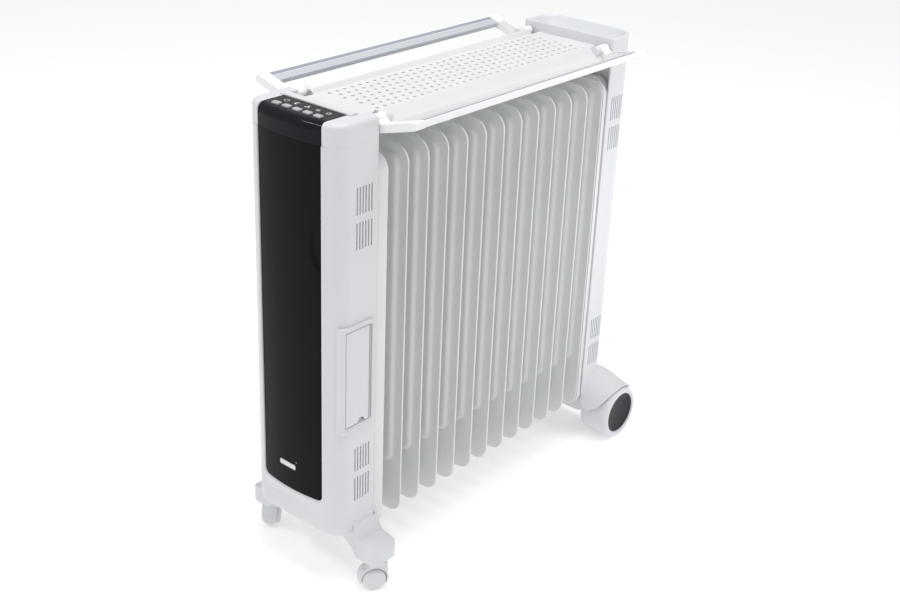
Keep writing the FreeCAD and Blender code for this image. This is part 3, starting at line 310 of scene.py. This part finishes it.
def add_panel():
    """Crowned glossy panel with round lower corners and a finger scoop."""
    corner = [PANEL_LOW.z + PANEL_CORNER * (1 - math.cos(math.radians(angle))) for angle in range(10, 91, 10)]
    levels = [PANEL_LOW.z + 0.05] + corner
    levels += [PANEL_LOW.z + PANEL_CORNER + (PANEL_HIGH.z - 0.3 - PANEL_LOW.z - PANEL_CORNER) * step / 190
               for step in range(1, 191)]
    columns = 56
    points = []
    for up in levels:
        drop = max(0.0, PANEL_LOW.z + PANEL_CORNER - up)
        half = PANEL_HALF - PANEL_CORNER + math.sqrt(PANEL_CORNER ** 2 - drop ** 2) - 0.2
        for column in range(columns + 1):
            across = half * (2 * column / columns - 1)
            edge = 0.5 * smooth_step((abs(across) - half + 1.2) / 1.2)
            points.append((across, FACE - crown_at(across) + scoop_at(across, up) + edge, up))
    row = columns + 1
    faces = [(r * row + c, r * row + c + 1, (r + 1) * row + c + 1, (r + 1) * row + c)
             for r in range(len(levels) - 1) for c in range(columns)]
    border = ([c for c in range(row)] + [r * row + columns for r in range(1, len(levels))]
              + [(len(levels) - 1) * row + c for c in reversed(range(columns))]
              + [r * row for r in reversed(range(1, len(levels) - 1))])
    back = PANEL_HIGH.y
    first = len(points)
    points += [(points[index][0], back, points[index][2]) for index in border]
    for step in range(len(border)):
        after = (step + 1) % len(border)
        faces.append((border[step], border[after], first + after, first + step))
    faces.append(tuple(range(first, first + len(border))))
    mesh = make_mesh("front_panel_gloss", (points, faces), sharp=50)
    mesh.materials.append(MATERIALS["gloss_panel"])
    add_piece("front_panel_gloss", mesh, "heater", "gloss_black", ["front_panel"])


HOUSING_ROUND = 25
SEAM = PANEL_HIGH.z
BEZEL_SECTION = ((-0.2, -2.0), (-0.2, 0.3), (0.1, 1.3), (0.9, 1.9), (2.2, 2.1), (3.6, 2.0), (4.6, 1.5), (5.4, 0.8),
                 (7, 0.35), (10, 0.08), (13, -0.35), (13, -2.0))


def corner_drop(across):
    """How far the rounded upright corner falls behind the front face."""
    beyond = max(0.0, abs(across) - PANEL_HALF)
    return HOUSING_ROUND - math.sqrt(max(0.0, HOUSING_ROUND ** 2 - min(beyond, HOUSING_ROUND) ** 2))


def add_bezel():
    """White frame around the panel, standing on a soft slope that runs out into the skirt."""
    inner = PANEL_HALF - PANEL_CORNER
    stations = [(-PANEL_HALF, SEAM - 0.2, -1.0, 0.0), (-PANEL_HALF, 380, -1.0, 0.0)]
    stations += [(-inner, PANEL_LOW.z + PANEL_CORNER, -math.cos(math.radians(a)), -math.sin(math.radians(a)))
                 for a in range(0, 91, 9)]
    stations += [(inner * (2 * step / 24 - 1), PANEL_LOW.z + PANEL_CORNER, 0.0, -1.0) for step in range(1, 24)]
    stations += [(inner, PANEL_LOW.z + PANEL_CORNER, math.cos(math.radians(a)), -math.sin(math.radians(a)))
                 for a in range(90, -1, -9)]
    stations += [(PANEL_HALF, 380, 1.0, 0.0), (PANEL_HALF, SEAM - 0.2, 1.0, 0.0)]
    rings = []
    for middle, up, out_across, out_up in stations:
        on_corner = abs(middle) < PANEL_HALF
        start = PANEL_CORNER if on_corner else 0
        ring = []
        for away, height in BEZEL_SECTION:
            stretch = 1 + 0.75 * out_up ** 2 if away > 5 else 1
            reach = start + away * stretch
            across, level = middle + out_across * reach, up + out_up * reach
            fade = 1 - smooth_step((away - 4.5) / 8)
            front = FACE + corner_drop(across) - crown_at(across) * fade
            ring.append((across, front - height, level))
        rings.append(ring)
    mesh = make_mesh("panel_bezel", skin(rings), sharp=75)
    add_piece("panel_bezel", mesh, "heater", "white_plastic")


# ---------------------------------------------------------------- badge, icons and buttons
BADGE_LOW, BADGE_HIGH = box_mm("panel_badge")


def add_badge():
    """Plain brushed plate with a raised border, and a small indicator lens beside it."""
    profile = ((0, 0.0), (0, 1.7), (0.5, 2.3), (1.0, 2.4), (1.4, 2.0), (1.7, 2.0))
    rings = [[(across, BADGE_HIGH.y - height, up) for across, up in
              rounded(BADGE_LOW.x + inset, BADGE_HIGH.x - inset, BADGE_LOW.z + inset, BADGE_HIGH.z - inset,
                      2.2 - inset)] for inset, height in profile]
    add_piece("badge_plate", make_mesh("badge_plate", skin(rings)), "heater", "silver_badge", ["panel_badge"])
    lens = [[(11.3 + across, FACE - crown_at(11.3) - height, 178.7 + up) for across, up in circle(radius, 20)]
            for radius, height in ((0.9, -0.8), (0.9, 0.1), (0.6, 0.35), (0.2, 0.45))]
    add_piece("indicator_lens", make_mesh("indicator_lens", skin(lens)), "heater", "button_grey")


TOP = box_mm("control_fascia")[1].z
ICON_Y = -290.6


def arc_band(middle, radius, width, start, stop, steps=28):
    """Flat ring or part of one, as an outline."""
    turns = [math.radians(start + (stop - start) * step / steps) for step in range(steps + 1)]
    outside = [(middle[0] + (radius + width / 2) * math.cos(t), middle[1] + (radius + width / 2) * math.sin(t))
               for t in turns]
    inside = [(middle[0] + (radius - width / 2) * math.cos(t), middle[1] + (radius - width / 2) * math.sin(t))
              for t in reversed(turns)]
    return outside + inside


def bar(start, end, width):
    """Straight stroke as an outline."""
    way = Vector((end[0] - start[0], end[1] - start[1])).normalized() * width / 2
    side = Vector((-way.y, way.x))
    return [(start[0] + side.x, start[1] + side.y), (start[0] - side.x, start[1] - side.y),
            (end[0] - side.x, end[1] - side.y), (end[0] + side.x, end[1] + side.y)]


def crescent():
    outer = [(2.3 * math.cos(math.radians(a)), 2.3 * math.sin(math.radians(a))) for a in range(50, 311, 13)]
    inner = [(1.1 + 1.75 * math.cos(math.radians(a)), 1.75 * math.sin(math.radians(a)))
             for a in range(280, 79, -10)]
    return outer + inner


def blade(turn):
    """One rounded blade of the fan symbol."""
    outline = rounded(0.5, 2.6, -0.85, 0.85, 0.8, 4)
    cos, sin = math.cos(math.radians(turn)), math.sin(math.radians(turn))
    return [(across * cos - up * sin, across * sin + up * cos) for across, up in outline]


def wave(shift):
    """One wavy stroke of the heat symbol."""
    line = [(shift + 0.45 * math.sin(step * math.pi / 6), -2.1 + 4.2 * step / 12) for step in range(13)]
    return [(x - 0.3, y) for x, y in line] + [(x + 0.3, y) for x, y in reversed(line)]


ICONS = {
    "timer": [arc_band((0, 0), 2.1, 0.55, 0, 359.9), bar((0, 0), (0, 1.5), 0.5), bar((0, 0), (1.1, 0), 0.5)],
    "sleep": [crescent()],
    "fan": [blade(90), blade(210), blade(330)],
    "heat": [wave(-1.5), wave(0), wave(1.5)],
    "power": [arc_band((0, 0), 2.0, 0.6, 120, 420), bar((0, 0.6), (0, 2.9), 0.6)],
}


def add_icons():
    """Printed symbols behind the buttons, a tenth of a millimetre thick."""
    for name in BUTTONS:
        low, high = box_mm(name + "_button")
        middle = (low.x + high.x) / 2
        strokes = [prism(outline, TOP - 0.2, TOP + 0.1, lambda across, up, level:
                         (middle + 1.5 * across, ICON_Y + 1.5 * up, level)) for outline in ICONS[name]]
        add_piece(f"{name}_icon", make_mesh(f"{name}_icon", join(*strokes)), "heater", "white_paint")


# ---------------------------------------------------------------- racks
PIVOT_X, PIVOT_Z = 68, 641
RACK_TILT = math.radians(16)


def rack_place(side):
    """Turns a point of the rack's own section into its place on the opened rack."""
    def place(across, up, level):
        return (side * (PIVOT_X + across * math.cos(RACK_TILT) - up * math.sin(RACK_TILT)), level,
                PIVOT_Z + across * math.sin(RACK_TILT) + up * math.cos(RACK_TILT))
    return place


# Rail sections: the inner facet is a painted lit copy of the darker rail aluminium on the outer facet, and the thin
# white line between them is a painted highlight.
RAIL_SECTIONS = {
    "inner": ("rail_painted_lit", ((45.5, -14.6), (46, -15), (55.6, -15), (55.6, -7.2), (55.1, -6.5), (46.2, -8.3),
                             (45.5, -8.9))),
    "line": ("rack_white", ((55.6, -15), (56.4, -15), (56.4, -6.7), (55.6, -6.7))),
    "outer": ("rail_aluminium", ((56.4, -15), (63.2, -15), (63.2, -7.3), (57.4, -6.6), (56.9, -7.2),
                                 (56.4, -7.2))),
    "strip": ("rack_white", ((63.2, -15), (64.6, -15), (65.1, -14.4), (65.1, -7.6), (64.6, -7), (63.2, -7))),
}
# Where the dark strips of painted shade lie across the rear arm's top, and how wide each one is.
SHADE_STRIP_STARTS = (209.6, 213.6, 217.6)
SHADE_STRIP_WIDE = 0.8


def add_rails():
    """Rails of two grey facets of one aluminium, the inner one painted lighter, with a thin white painted highlight
    line between them and a white outer strip; thin dark strips of painted shade lie on the rear arm.
    """
    for name, side in SIDES.items():
        node = f"{name}_rack_rail"
        low, high = box_mm(node)
        place = rack_place(side)
        for part, (surface, section) in RAIL_SECTIONS.items():
            mesh = make_mesh(f"{name}_rail_{part}", prism(section, low.y, high.y, place), sharp=20)
            mesh.materials.append(MATERIALS[surface])
            replaced = [node] if part == "outer" else ()
            slot = "white_plastic" if surface == "rack_white" else "rail_aluminium"
            add_piece(f"{name}_rail_{part}", mesh, f"{name}_rack", slot, replaced)
        # Thin dark strips laid on the arm's top are painted shade for the shadowed gaps there. They are not cut
        # grooves.
        shade_strips = [prism(((12, -6.2), (44, -6.2), (44, -5.9), (12, -5.9)), start, start + SHADE_STRIP_WIDE, place)
                   for start in SHADE_STRIP_STARTS]
        mesh = make_mesh(f"{name}_arm_shade_strips", join(*shade_strips), sharp=20)
        mesh.materials.append(MATERIALS["painted_groove_shade"])
        add_piece(f"{name}_arm_shade_strips", mesh, f"{name}_rack", "white_plastic")


# ---------------------------------------------------------------- side compartment
DOOR_LOW, DOOR_HIGH = box_mm("compartment_door")
BOX_LOW, BOX_HIGH = box_mm("compartment_box")


def ring_band(low, high, inset, radius, section):
    """Closed band around an upright rectangle on the right side; section gives (inset, height) pairs."""
    rings = [[(height, along, up) for along, up in
              rounded(low.y + inset + shift, high.y - inset - shift, low.z + inset + shift,
                      high.z - inset - shift, radius)] for shift, height in section]
    return skin(rings, looped=True)


def add_compartment_trim():
    """Raised bead around the compartment's frame, a grey ring of painted shade for the shadowed gap around the door,
    and a dark plate of painted shade behind the notch.
    """
    face = BOX_HIGH.x
    bead = ring_band(BOX_LOW, BOX_HIGH, 0.2, 3, ((0, face - 1), (0, face + 0.4), (0.7, face + 1.3), (1.6, face + 1.5),
                                                 (2.5, face + 1.2), (3.2, face + 0.3), (3.2, face - 1)))
    add_piece("frame_bead", make_mesh("frame_bead", bead, sharp=50), "heater", "white_plastic")
    # Grey ring of painted shade, standing in for the shadow in the gap around the door.
    gap_shade_ring = ring_band(BOX_LOW, BOX_HIGH, 6.4, 1, ((0, face - 1.5), (0, face + 0.12), (0.9, face + 0.12),
                                                 (0.9, face - 1.5)))
    mesh = make_mesh("door_gap_shade", gap_shade_ring, sharp=50)
    mesh.materials.append(MATERIALS["gap_shade_grey"])
    add_piece("door_gap_shade", mesh, "heater", "white_plastic")
    # Dark plate of painted shade behind the notch, standing in for its shadowed well.
    back = prism(rounded(-287, -271, 253.4, 260, 2), 77.6, 78.3, lambda along, up, across: (across, along, up))
    mesh = make_mesh("notch_shade", back, sharp=50)
    mesh.materials.append(MATERIALS["gap_shade_grey"])
    add_piece("notch_shade", mesh, "compartment_door", "white_plastic")


# ---------------------------------------------------------------- rear cap
CAP_PROFILE = ((30, 625.5), (27, 626), (20, 633), (17, 635.8), (0, 636), (0, 654.4), (0.5, 655.5), (1.6, 656),
               (3.0, 656), (4.2, 655.4), (5.6, 653.2), (8.5, 648.4), (12.5, 643), (17, 637.6), (21, 633.4),
               (24.5, 630.8), (28, 629.4))
CAP_ROUND = 32


def cap_outline(low, high, inset):
    """Plan of the cap: wide corners at the rear, tight ones at the front that open up inside."""
    rear, front = max(CAP_ROUND - inset, 8), 3 + 0.45 * inset
    middles = ((high.x - inset - rear, high.y - inset - rear, 0, rear),
               (low.x + inset + rear, high.y - inset - rear, 90, rear),
               (low.x + inset + front, low.y + inset + front, 180, front),
               (high.x - inset - front, low.y + inset + front, 270, front))
    return [(across + radius * math.cos(math.radians(start + 90 * step / 10)),
             along + radius * math.sin(math.radians(start + 90 * step / 10)))
            for across, along, start, radius in middles for step in range(11)]


def add_rear_cap():
    """Shallow bowl with a thin lip over nearly the whole top of the rear housing."""
    low, high = box_mm("rear_cap")
    rings = [[(across, along, up) for across, along in cap_outline(low, high, inset)]
             for inset, up in CAP_PROFILE]
    add_piece("rear_bowl", make_mesh("rear_bowl", skin(rings), sharp=35), "heater", "white_plastic", ["rear_cap"])


# ---------------------------------------------------------------- rear wheels
TYRE_SECTION = ((112, 33.1), (118.2, 33.1), (119.4, 33.8), (120, 35.2), (119.9, 37), (119, 39), (117.2, 41),
                (114.6, 42.4), (111.5, 43), (77, 43), (73.4, 42.4), (71, 41), (70, 39), (70, 36.6), (72, 36),
                (104, 35), (104, 12), (71, 12), (70, 11), (70, 4.2), (112, 4.2))
HUB_SECTION = ((112, 0.01), (112, 33), (117.4, 33), (118, 32.5), (117.8, 31.6), (117.2, 29.6), (116.6, 27),
               (116, 23), (115.4, 17), (114.9, 10), (114.7, 5), (114.6, 0.01))


def lathe_x(section, centre_y, centre_z, side, steps=72, looped=True):
    rings = [[(side * across, centre_y + a, centre_z + b) for a, b in circle(radius, steps)]
             for across, radius in section]
    return skin(rings, looped=looped)


def add_wheels():
    for name, side in SIDES.items():
        low, high = box_mm(f"{name}_rear_wheel")
        centre_y, centre_z = (low.y + high.y) / 2, (low.z + high.z) / 2
        body = f"{name}_rear_wheel"
        tyre = make_mesh(f"{name}_tyre", lathe_x(TYRE_SECTION, centre_y, centre_z, side), sharp=50)
        add_piece(f"{name}_tyre", tyre, body, "white_wheel", [f"{name}_rear_wheel"])
        hub = make_mesh(f"{name}_hub", lathe_x(HUB_SECTION, centre_y, centre_z, side, looped=False), sharp=50)
        add_piece(f"{name}_hub", hub, body, "dark_hub", [f"{name}_hub_disc"])


add_fins()
add_end_plate("front_end_plate", box_mm("front_end_plate")[1].y, box_mm("front_end_plate")[0].y)
add_end_plate("rear_end_plate", box_mm("rear_end_plate")[0].y, box_mm("rear_end_plate")[1].y)
add_panel()
add_bezel()
add_badge()
add_icons()
add_rails()
add_compartment_trim()
add_rear_cap()
add_wheels()


# ---------------------------------------------------------------- floor, light and camera
def add_floor():
    mesh = bpy.data.meshes.new("floor")
    size = 8.0
    mesh.from_pydata([(-size, -size, 0), (size, -size, 0), (size, size, 0), (-size, size, 0)], [], [(0, 1, 2, 3)])
    floor = bpy.data.objects.new("floor", mesh)
    bpy.context.scene.collection.objects.link(floor)
    material, shader, node = new_material("floor")
    shader.inputs["Base Color"].default_value = (0.95, 0.95, 0.955, 1)
    shader.inputs["Roughness"].default_value = 0.8
    shader.inputs["Specular IOR Level"].default_value = 0.1
    shader.inputs["Emission Color"].default_value = (1, 1, 1, 1)
    shader.inputs["Emission Strength"].default_value = 0.26
    mesh.materials.append(material)


def add_lamp(name, kind, place, target, power, **settings):
    light = bpy.data.lights.new(name, kind)
    light.energy = power
    for key, setting in settings.items():
        setattr(light, key, setting)
    lamp = bpy.data.objects.new(name, light)
    lamp.location = place
    lamp.rotation_euler = (Vector(target) - Vector(place)).to_track_quat("-Z", "Y").to_euler()
    bpy.context.scene.collection.objects.link(lamp)


def add_camera():
    right = Vector((0.7580, 0.6512, 0.0377))
    up = Vector((-0.3071, 0.3053, 0.9014))
    back = Vector((0.5755, -0.6948, 0.4313))
    lens = bpy.data.cameras.new("camera")
    lens.lens = 54.23
    lens.sensor_width = 36
    camera = bpy.data.objects.new("camera", lens)
    turn = Matrix((right, up, back)).transposed().normalized()
    camera.matrix_world = Matrix.Translation((1.1138, -1.3583, 1.1391)) @ turn.to_4x4()
    bpy.context.scene.collection.objects.link(camera)
    bpy.context.scene.camera = camera


def add_world():
    world = bpy.data.worlds.new("studio")
    world.use_nodes = True
    world.node_tree.nodes["Background"].inputs["Color"].default_value = (1, 1, 1, 1)
    world.node_tree.nodes["Background"].inputs["Strength"].default_value = 0.62
    bpy.context.scene.world = world
    bpy.context.scene.view_settings.view_transform = "Standard"


add_floor()
add_world()
add_lamp("key", "AREA", (-1.05, -1.69, 2.38), (0.0, -0.2, 0.6), 12, shape="RECTANGLE", size=0.9, size_y=0.08)
add_lamp("top", "AREA", (0.5, 0.0, 2.8), (0, 0, 0.3), 32, shape="RECTANGLE", size=1.6, size_y=1.6)
add_lamp("rear", "SPOT", (1.75, 1.1, 0.62), (0.08, 0.27, 0.40), 60, spot_size=math.radians(24), spot_blend=1.0,
         shadow_soft_size=0.25)
add_camera()
